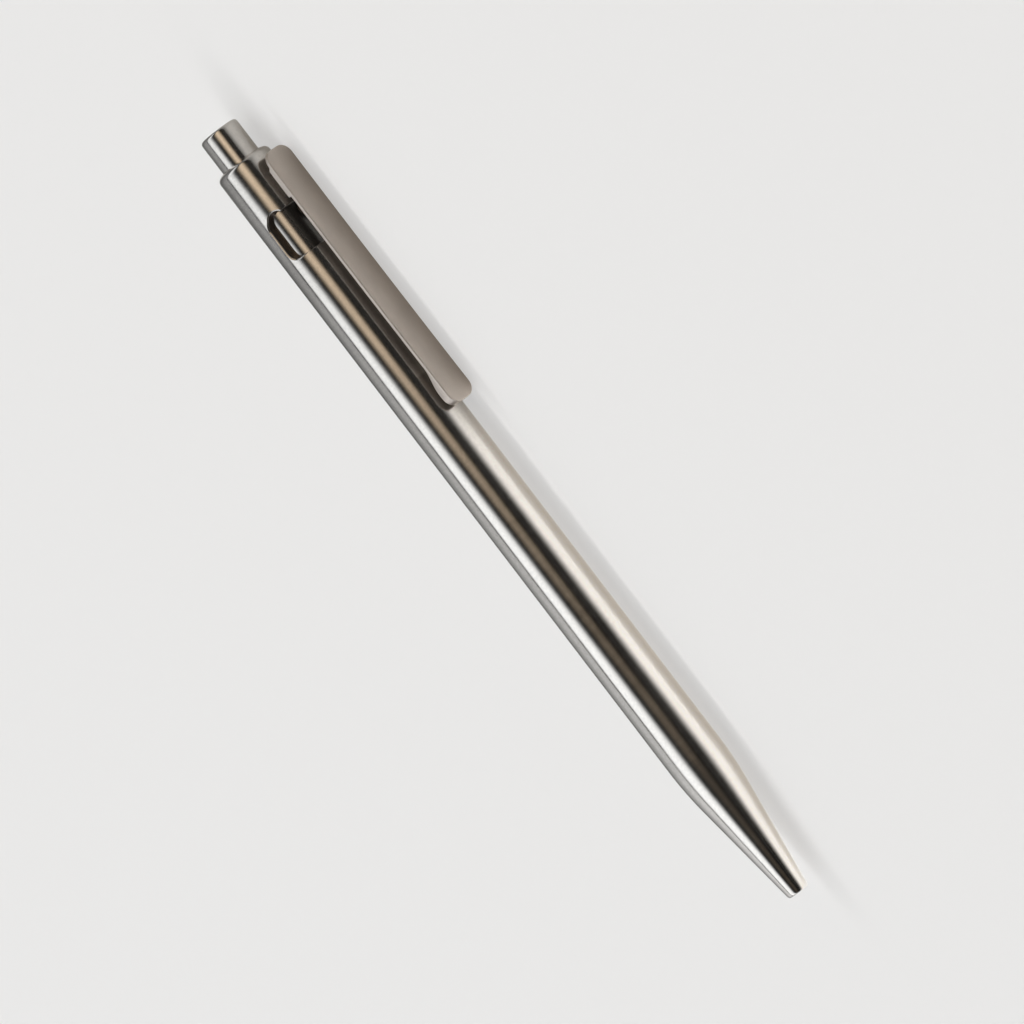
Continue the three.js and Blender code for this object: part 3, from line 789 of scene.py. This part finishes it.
# Painted shade: deeper than 0.3 mm below the face and away from the rim, the steel is darker.
below = summed(blasted, "SUBTRACT", blasted_in["Face"], parts["Z"])
below = rising(blasted, below, 0.3 * mm, 0.1 * mm)
under = summed(blasted, "MULTIPLY", below, rising(blasted, rim_depth, 0.05 * mm, 0.15 * mm))
shade = weighted(blasted, 1.0, (grains, 0.12), (clouds, 0.3), (rim, 0.1))
shade = summed(blasted, "MULTIPLY", shade, weighted(blasted, 1.0, (under, -0.6)))
rough = weighted(blasted, blasted_in["Base"], (grains, 0.1), (clouds, 0.12), (rim, -0.08), clamp=True)
finished(blasted, blasted_out, shade, rough, summed(blasted, "ADD", grains, clouds))
clip_color = (0.72, 0.655, 0.6)
clip_values = {
    "Base": 0.5,
    "Length": (clip_rear - clip_end) / 2 * mm,
    "Width": clip_width / 2 * mm,
    "Corner": clip_corner * mm,
    "Face": clip_face * mm,
}
clip_steel = finish_material(
    "blasted_clip_steel",
    blasted,
    clip_values,
    clip_color,
    1,
    0.004,
    place=nose_x + (clip_rear + clip_end) / 2 * mm,
    turn=(pen_roll, 0, 0),
)
clip.data.materials.append(clip_steel)
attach(clip, "pen_body")
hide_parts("clip")

# Clip post
# A small stainless block between barrel and clip, hollowed underneath to sit on the barrel. The
# bar's pad rests on it, and two blind pins hold all three together.
post_width = 2.4
post_inset = 0.35
post_corner = 0.4
post_bevel = 0.06
pad_underside = clip_underside - pad_extra
post_top = pad_underside - seat_gap
post_plan = plan(pad_rear - post_inset, pad_front + post_inset, post_width, post_corner, 12)
post = raised("clip_post_block", post_plan, barrel_radius, post_top)
rim_rounded(post, post_top, post_bevel, 3)
edit_all()
sliced(Vector((0, 1, 0)), [row * 0.1 * mm for row in range(-11, 12)])
close_mesh()
saddle_radius = (barrel_radius + seat_gap) * mm
for vertex in post.data.vertices:
    if vertex.co.z < (barrel_radius + 0.01) * mm:
        vertex.co.z = math.sqrt(saddle_radius**2 - vertex.co.y**2)
pin_holes(post, clip_underside)
seated(post)
# The post takes the clip's steel, and because it lies below the face it gets the painted shade.
post.data.materials.append(clip_steel)
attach(post, "pen_body")
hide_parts("clip_post")

# Clip pins
# Two drawn steel pins, pressed through the barrel's wall and the post into blind holes in the clip.
pin_radius = 0.6
pin_foot = bore_radius + edge_break
pin_outline = [
    (pin_foot, 0),
    (pin_foot, pin_radius - edge_break),
    (pin_foot + edge_break, pin_radius),
    (pin_top - edge_break, pin_radius),
    (pin_top, pin_radius - edge_break),
    (pin_top, 0),
]
drawn_values = {"Base": 0.2, "Marks": 0.05, "Patches": 0.06}
drawn_steel = finish_material("drawn_bright_steel", lathe, drawn_values, (0.76, 0.76, 0.75), 1, 0.0008)
for end, place in zip(("rear", "front"), pin_places):
    pin = across("pressed_pin_" + end, pin_outline, place, 48)
    seated(pin)
    pin.data.materials.append(drawn_steel)
    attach(pin, "pen_body")
    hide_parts("clip_pin_" + end)

# Rubber rings
# Two moulded rings of black rubber in the plunger's grooves. They rub in the bore, so the plunger
# moves smoothly and does not rattle.
ring_radius = 0.45
moulded, moulded_in, moulded_out = finish_group("moulded_skin", ("Base", "Mottle"))
skin = grain_noise(moulded, moulded_in["Vector"], (5200, 5200, 5200), 3)
flow = grain_noise(moulded, moulded_in["Vector"], (340, 700, 700), 4)
tone = weighted(moulded, flow, (skin, 0.4))
shade = weighted(moulded, 1.0, (tone, moulded_in["Mottle"]))
rough = weighted(moulded, moulded_in["Base"], (tone, 0.2), clamp=True)
finished(moulded, moulded_out, shade, rough, tone)
rubber_values = {"Base": 0.72, "Mottle": 0.5}
rubber = finish_material("black_ring_rubber", moulded, rubber_values, (0.026, 0.026, 0.027), 0, 0.006)
for end, place in zip(("front", "rear"), ring_places):
    ring_outline = arc((place, rod_radius - ring_radius), (ring_radius, ring_radius), 0, 360, 32)
    ring = turned("rubber_ring_" + end, ring_outline, 160)
    seated(ring)
    ring.data.materials.append(rubber)
    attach(ring, "bolt_set")
    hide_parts("plunger_ring_" + end)

# Refill pusher
# A turned acetal button on a stem in the end of the plunger. It bears on the back of the refill and
# lets the plunger turn on it without wear.
pusher_front = 100.05
pusher_radius = 2.5
pusher_thickness = 1.0
stem_radius = 1.45
stem_end = 104.6
pusher_break = 0.15
pusher_outline = [
    (pusher_front, 0),
    (pusher_front, pusher_radius - pusher_break),
    (pusher_front + pusher_break, pusher_radius),
    (pusher_front + pusher_thickness - edge_break, pusher_radius),
    (pusher_front + pusher_thickness, pusher_radius - edge_break),
    (pusher_front + pusher_thickness, stem_radius),
    (stem_end - pusher_break, stem_radius),
    (stem_end, stem_radius - pusher_break),
    (stem_end, 0),
]
pusher = seated(turned("pusher_button", pusher_outline, 128))
acetal_values = {"Base": 0.42, "Mottle": 0.1}
acetal = finish_material("turned_white_acetal", moulded, acetal_values, (0.84, 0.83, 0.79), 0, 0.004)
pusher.data.materials.append(acetal)
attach(pusher, "bolt_set")
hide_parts("refill_pusher")

# Refill ball and tip
# A carbide ball 0.7 mm wide, held in the rolled lip of a turned steel tip with a long cone.
# Places along the refill are measured from its ball.
tip_start = 1.5
refill_x = nose_x + tip_start * mm
ball_radius = 0.35
tip_radius = 1.15
tip_mouth_radius = 0.48
tip_cone = 2.4
tip_length = 8.0
tip_shank_radius = 0.95
tip_shank_end = 12.0
ink_channel = 0.5
socket_radius = 0.375
ball_lip = 0.28
ball_room = 0.725
feed_radius = 0.175
feed_end = 1.425
tip_blend = 0.5
tip_blend_drop = 0.158
ball_outline = arc((ball_radius, 0), (ball_radius, ball_radius), 180, 0, 32)
ball = seated(turned("writing_ball", ball_outline, 64, refill_x))
carbide_values = {"Base": 0.09, "Marks": 0.02, "Patches": 0.04}
carbide = finish_material("polished_carbide", lathe, carbide_values, (0.5, 0.5, 0.52), 1, 0.0003)
ball.data.materials.append(carbide)
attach(ball, "refill_set")
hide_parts("refill_ball")
tip_outline = [(ball_lip, socket_radius), (ball_lip, tip_mouth_radius)]
tip_outline += bend(
    (tip_cone - tip_blend, tip_radius - tip_blend_drop),
    (tip_cone, tip_radius),
    (tip_cone + tip_blend, tip_radius),
    8,
)
tip_outline += [
    (tip_length, tip_radius),
    (tip_length, tip_shank_radius),
    (tip_shank_end, tip_shank_radius),
    (tip_shank_end, ink_channel),
    (feed_end, feed_radius),
    (ball_room, feed_radius),
    (ball_room, socket_radius),
    (ball_lip, socket_radius),
]
tip = seated(turned("writing_tip", tip_outline, 128, refill_x))
tip.data.materials.append(drawn_steel)
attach(tip, "refill_set")
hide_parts("refill_tip")

# Refill ferrule
# A turned brass sleeve that joins tip and tube. The spring stands against its flange.
ferrule_radius = 1.5
flange_radius = 2.6
flange_start = 19.0
tube_start = 20.0
tube_inner_radius = 2.6
ferrule_end = 26.0
ferrule_outline = [
    (tip_length + seat_gap, tip_shank_radius + seat_gap),
    (tip_length + seat_gap, ferrule_radius - edge_break),
    (tip_length + seat_gap + edge_break, ferrule_radius),
    (flange_start, ferrule_radius),
    (flange_start, flange_radius - edge_break),
    (flange_start + edge_break, flange_radius),
    (tube_start, flange_radius),
    (tube_start, tube_inner_radius - seat_gap),
    (ferrule_end, tube_inner_radius - seat_gap),
    (ferrule_end, ink_channel),
    (tip_shank_end + seat_gap, ink_channel),
    (tip_shank_end + seat_gap, tip_shank_radius + seat_gap),
    (tip_length + seat_gap, tip_shank_radius + seat_gap),
]
ferrule = seated(turned("refill_sleeve", ferrule_outline, 128, refill_x))
brass_values = {"Base": 0.24, "Marks": 0.1, "Patches": 0.12}
brass = finish_material("turned_brass", lathe, brass_values, (0.74, 0.55, 0.27), 1, 0.0015)
ferrule.data.materials.append(brass)
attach(ferrule, "refill_set")
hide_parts("refill_ferrule")

# Refill tube, ink and plug
# A drawn steel tube 5.8 mm wide, filled with thick blue ink as far as its air space, and closed by a
# notched grey nylon plug with a vent through it.
tube_radius = 2.9
plug_front = 88.0
cap_front = 94.0
refill_length = 98.5
vent_radius = 0.5
ink_start = 26.1
ink_end = 84.1
tube_outline = [
    (tube_start + seat_gap, tube_inner_radius),
    (tube_start + seat_gap, tube_radius - edge_break),
    (tube_start + seat_gap + edge_break, tube_radius),
    (cap_front - seat_gap, tube_radius),
    (cap_front - seat_gap, tube_inner_radius),
    (tube_start + seat_gap, tube_inner_radius),
]
tube = seated(turned("refill_barrel", tube_outline, 160, refill_x))
tube.data.materials.append(drawn_steel)
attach(tube, "refill_set")
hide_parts("refill_tube")
ink_radius = tube_inner_radius - seat_gap
meniscus = 0.5
ink_outline = [(ink_start, 0), (ink_start, ink_radius)]
ink_outline += bend(
    (ink_end, ink_radius),
    (ink_end - meniscus, ink_radius / 2),
    (ink_end - meniscus, 0),
    10,
)
ink = seated(turned("ink_column", ink_outline, 96, refill_x))
ink_values = {"Base": 0.16, "Mottle": 0.4}
blue_ink = finish_material("thick_blue_ink", moulded, ink_values, (0.012, 0.028, 0.17), 0, 0.002)
ink.data.materials.append(blue_ink)
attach(ink, "refill_set")
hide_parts("refill_ink")
cap_rounding = 0.4
plug_outline = [
    (plug_front, vent_radius),
    (plug_front, ink_radius),
    (cap_front, ink_radius),
    (cap_front, tube_radius),
]
plug_outline += bend(
    (refill_length - cap_rounding, tube_radius),
    (refill_length, tube_radius),
    (refill_length, tube_radius - cap_rounding),
    6,
)
plug_outline += [(refill_length, vent_radius), (plug_front, vent_radius)]
plug = turned("refill_end_plug", plug_outline, 144, refill_x)
notch_count = 6
notch_width = 0.8
notch_depth = 1.2
notch_size = (2 * notch_depth * mm, notch_width * mm, 2 * notch_depth * mm)
notch_at = Vector((refill_x + refill_length * mm, 0, tube_radius * mm))
for row in range(notch_count):
    angle = 2 * math.pi * row / notch_count
    cut(plug, block("plug_notch", notch_size, Matrix.Rotation(angle, 3, "X") @ notch_at, angle))
seated(plug)
nylon_values = {"Base": 0.5, "Mottle": 0.16}
nylon = finish_material("moulded_grey_nylon", moulded, nylon_values, (0.16, 0.17, 0.175), 0, 0.005)
plug.data.materials.append(nylon)
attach(plug, "refill_set")
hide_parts("refill_plug")

# Return spring
# Eleven curls of drawn steel wire between the seat in the nose and the flange of the refill. The end
# curls lie closer together. It is drawn at one length and does not shorten with the refill.
spring_wire_radius = 0.2
spring_coil_radius = 1.95
spring_curls = 11
spring_start = spring_seat + seat_gap + spring_wire_radius
spring_end = tip_start + flange_start - seat_gap - spring_wire_radius
steps_per_curl = 32
end_crowding = 0.55
spring_line = bpy.data.curves.new("wound_spring", "CURVE")
spring_line.dimensions = "3D"
spring_line.bevel_depth = spring_wire_radius * mm
spring_line.bevel_resolution = 4
spring_line.use_fill_caps = True
winding = spring_line.splines.new("POLY")
winding.points.add(spring_curls * steps_per_curl)
for step, point in enumerate(winding.points):
    share = step / (spring_curls * steps_per_curl)
    turn = 2 * math.pi * step / steps_per_curl
    along = share - end_crowding * math.sin(4 * math.pi * share) / (4 * math.pi)
    place = spring_start + (spring_end - spring_start) * along
    side, height = (way(turn) * spring_coil_radius * mm for way in (math.cos, math.sin))
    point.co = (nose_x + place * mm, side, height, 1)
spring = bpy.data.objects.new("wound_spring", spring_line)
bpy.context.scene.collection.objects.link(spring)
picked(spring)
bpy.ops.object.convert(target="MESH")
spring = bpy.context.active_object
seated(spring)
spring.data.materials.append(drawn_steel)
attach(spring, "pen_body")
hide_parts("return_spring")
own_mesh(spring)

# Stage
# A plain pale floor under one soft panel in a dim room, as for any photograph of bright metal. A
# warm card and a dark one stand before the pen, so that the steel shows bands, and the panel has a
# dark frame. The levels of these lights change round the pen and along it.
floor_reach = 4.0
room_reach = 1.6
room_length = 12.0


def by_level(tree, value, stops):
    """Levels of light that follow a value, given as rows of value and level."""
    first, last = stops[0][0], stops[-1][0]
    spread = node(tree, "MapRange")
    spread.inputs["From Min"].default_value = first
    spread.inputs["From Max"].default_value = last
    tree.links.new(value, spread.inputs["Value"])
    ramp = node(tree, "ValToRGB")
    while len(ramp.color_ramp.elements) < len(stops):
        ramp.color_ramp.elements.new(0.5)
    for element, (place, level) in zip(ramp.color_ramp.elements, stops):
        element.position = (place - first) / (last - first)
        element.color = (level, level, level, 1)
    tree.links.new(spread.outputs[0], ramp.inputs["Fac"])
    return ramp.outputs["Color"]


def plain_light(tree, kind, level, tint):
    """Light from a node of a kind, at a level that is an output or a number."""
    light = node(tree, kind)
    light.inputs["Color"].default_value = (*tint, 1)
    feed(tree, light.inputs["Strength"], level)
    return light.outputs[0]


def glow(name, angle_stops, length_stops, strength, tint, slant=0):
    """Light whose level follows the angle round the pen, in degrees, and the place along it.
    The angles drift by slant degrees from the nose's end of the room to the button's."""
    material, tree, shader = new_material(name)
    tree.nodes.remove(shader)
    parts = parted(tree, node(tree, "TexCoord").outputs["Object"])
    forward = summed(tree, "MULTIPLY", parts["Y"], -1)
    angle = summed(tree, "ARCTAN2", parts["Z"], forward)
    toward_button = by_level(tree, parts["X"], [(-0.1, 0), (0.17, 1)])
    drift = summed(tree, "MULTIPLY", toward_button, slant)
    angle = summed(tree, "SUBTRACT", summed(tree, "DEGREES", angle), drift)
    level = by_level(tree, angle, angle_stops)
    along = by_level(tree, parts["X"], length_stops)
    level = summed(tree, "MULTIPLY", summed(tree, "MULTIPLY", level, along), strength)
    light = plain_light(tree, "Emission", level, tint)
    tree.links.new(light, tree.nodes["Material Output"].inputs["Surface"])
    return material


def curved_card(name, low, high, reach, material):
    """A card bent round the pen between two angles in degrees, at a distance from it."""
    points = []
    for across_place, level in arc((0, 0), (-reach, reach), low, high, 24):
        points.append((-room_length / 2, across_place, level))
    card = wire(name, points)
    edit_all()
    bpy.ops.mesh.extrude_region_move(TRANSFORM_OT_translate={"value": (room_length, 0, 0)})
    close_mesh()
    card.visible_camera = False
    card.visible_shadow = False
    card.data.materials.append(material)
    return card


panel_angles = [(62.7, 0), (66.7, 0.04), (70.7, 0.13), (75.7, 0.43), (80.7, 0.74), (88.7, 0.98)]
panel_angles += [(97.7, 1)]
panel_length = [(-0.1, 0.955), (0, 0.94), (0.04, 0.915), (0.07, 0.88), (0.096, 0.825)]
panel_length += [(0.11, 0.765), (0.14, 0.65), (0.149, 0.625), (0.157, 0.775), (0.25, 0.775)]
panel_glow = glow("soft_panel_glow", panel_angles, panel_length, 1.2, (0.98, 1, 1.02), slant=8)
curved_card("soft_panel", 62, 113.5, room_reach, panel_glow)

# This light falls on the floor and the pen, and no steel mirrors it.
key_glow = glow("floor_light_glow", [(100, 1), (120, 1)], [(-2, 1), (2, 1)], 12.3, (1, 1, 1))
key = curved_card("floor_light", 105, 113, room_reach + 0.05, key_glow)
key.visible_glossy = False

dark_paint, _, dark_shader = new_material("dark_card_paint")
dark_shader.inputs["Base Color"].default_value = (0.012, 0.011, 0.01, 1)
dark_shader.inputs["Roughness"].default_value = 1
curved_card("front_dark_card", 0, 66, room_reach + 0.05, dark_paint)
curved_card("panel_frame_edge", 115.5, 121, room_reach, dark_paint)

warm_angles = [(20, 0), (24, 0.15), (28, 0.5), (32, 0.8), (38, 1), (46, 1), (52, 0.62), (58, 0.22)]
warm_angles += [(62, 0.05), (66, 0)]
warm_length = [(-0.6, 0.045), (-0.3, 0.045), (-0.12, 0.03), (-0.0935, 0.031), (-0.06, 0.052)]
warm_length += [(-0.0246, 0.073), (0.01, 0.09), (0.027, 0.1), (0.041, 0.21), (0.0547, 0.42)]
warm_length += [(0.068, 0.88), (0.08, 0.79), (0.09, 1.05), (0.1, 1), (0.11, 0.71), (0.14, 0.58)]
warm_length += [(0.149, 0.55), (0.165, 0.74)]
warm_glow = glow("warm_card_glow", warm_angles, warm_length, 1.02, (1, 0.8, 0.59))
curved_card("warm_card", 18, 66, room_reach - 0.1, warm_glow)

bpy.ops.mesh.primitive_plane_add(size=2 * floor_reach, location=(0, 0, -0.02 * mm))
floor = bpy.context.active_object
floor.name = "pale_floor"
floor_paint, tree, shader = new_material("pale_floor_paint")
shader.inputs["Base Color"].default_value = (0.8, 0.79, 0.77, 1)
shader.inputs["Roughness"].default_value = 0.9
shader.inputs["Specular IOR Level"].default_value = 0.1


def mixed(tree, factor, first, second):
    """Two shaders mixed, by an output or a number."""
    made = node(tree, "MixShader")
    for socket, value in zip(made.inputs, (factor, first, second)):
        feed(tree, socket, value)
    return made.outputs[0]


def joined(tree, first, second):
    """Two shaders added up."""
    made = node(tree, "AddShader")
    tree.links.new(first, made.inputs[0])
    tree.links.new(second, made.inputs[1])
    return made.outputs[0]


# What the steel mirrors of the floor fades toward the horizon and toward the pen's head. Under the
# head the fade toward the horizon is weaker.
paths = node(tree, "LightPath")
grazing = node(tree, "LayerWeight")
grazing.inputs["Blend"].default_value = 0.5
facing = summed(tree, "SUBTRACT", 1.0, grazing.outputs["Facing"])
fade_stops = [(0, 0.01), (0.07, 0.07), (0.139, 0.15), (0.208, 0.27), (0.276, 0.44), (0.342, 0.64)]
fade_stops += [(0.407, 0.79), (0.469, 0.9), (0.7, 1)]
parts = parted(tree, node(tree, "TexCoord").outputs["Object"])
head_stops = [(-0.03, 1), (0, 0.95), (0.01, 0.9), (0.015, 0.8), (0.02, 0.57), (0.055, 0.52)]
head_stops += [(0.08, 0.4)]
toward_head = by_level(tree, parts["X"], head_stops)
evenness = by_level(tree, parts["X"], [(0.058, 1), (0.064, 0.38)])
fade = summed(tree, "POWER", by_level(tree, facing, fade_stops), evenness)
share = summed(tree, "MULTIPLY", fade, toward_head)
no_light = plain_light(tree, "Emission", 0, (1, 1, 1))
paint = shader.outputs[0]
camera_look = mixed(tree, 0.5, paint, plain_light(tree, "Emission", 1, (1, 1, 1)))
bright_look = joined(tree, paint, mixed(tree, 0.35, no_light, paint))
bright_look = joined(tree, bright_look, plain_light(tree, "Emission", 0.28, (1, 0.96, 0.9)))
mirror_look = mixed(tree, share, no_light, bright_look)
look = mixed(tree, paths.outputs["Is Camera Ray"], paint, camera_look)
look = mixed(tree, paths.outputs["Is Glossy Ray"], look, mirror_look)
tree.links.new(look, tree.nodes["Material Output"].inputs["Surface"])
floor.data.materials.append(floor_paint)

# The room is white to the camera and dim grey as a light. In the steel it is darker toward the
# pen's head and toward the floor.
world = bpy.data.worlds.new("dim_room")
bpy.context.scene.world = world
world.use_nodes = True
room = world.node_tree
room_paths = node(room, "LightPath").outputs
room_tint = (0.985, 0.99, 1)
room_light = 0.5
room_stops = [(-0.3, 0.75), (-0.063, 0.58), (0, 0.52), (0.03, 0.42), (0.05, 0.32), (0.063, 0.265)]
room_stops += [(0.2, 0.25)]
height_stops = [(0, 0.4), (0.11, 0.5), (0.375, 0.66), (0.55, 0.9), (0.69, 1)]
parts = parted(room, node(room, "TexCoord").outputs["Generated"])
mirrored = by_level(room, parts["X"], room_stops)
mirrored = summed(room, "MULTIPLY", mirrored, by_level(room, parts["Z"], height_stops))
steel_look = plain_light(room, "Background", mirrored, room_tint)
dim_look = plain_light(room, "Background", room_light, room_tint)
white_look = plain_light(room, "Background", 1, (1, 1, 1))
room_look = mixed(room, room_paths["Is Glossy Ray"], dim_look, steel_look)
room_look = mixed(room, room_paths["Is Camera Ray"], room_look, white_look)
room.links.new(room_look, room.nodes["World Output"].inputs["Surface"])

# Camera
# It looks at the pen square to its axis, halfway round from the clip to the open side of the slot,
# through a long lens. The button is at the upper left, as in the photograph.
camera_data = bpy.data.cameras.new("long_lens")
camera = bpy.data.objects.new("camera", camera_data)
bpy.context.scene.collection.objects.link(camera)
bpy.context.scene.camera = camera
camera_data.lens = 265
camera_data.sensor_width = 36
picture_side = 1024
picture_width = 149.37 * mm
camera_distance = picture_width * camera_data.lens / camera_data.sensor_width
button_pixel = Vector((217.4, 130.5))
tip_pixel = Vector((798.4, 891.5))
camera_turn = math.radians(45)
view_back = Matrix.Rotation(pen_roll - camera_turn, 3, "X") @ Vector((0, 0, 1))
along_pen = Vector((1, 0, 0))
clip_side = along_pen.cross(view_back)
axis_picture = (button_pixel - tip_pixel).normalized()
right = along_pen * axis_picture.x - clip_side * axis_picture.y
up = along_pen * -axis_picture.y - clip_side * axis_picture.x
pixel_size = picture_width / picture_side
off_centre = (button_pixel + tip_pixel) / 2 - Vector((picture_side, picture_side)) / 2
target = Vector((0, pen_axis.y, pen_axis.z))
target += (up * off_centre.y - right * off_centre.x) * pixel_size
camera_place = Matrix.Translation(target + view_back * camera_distance)
camera.matrix_world = camera_place @ Matrix((right, up, view_back)).transposed().to_4x4()
camera_data.clip_end = 20
bpy.context.scene.view_settings.view_transform = "Standard"
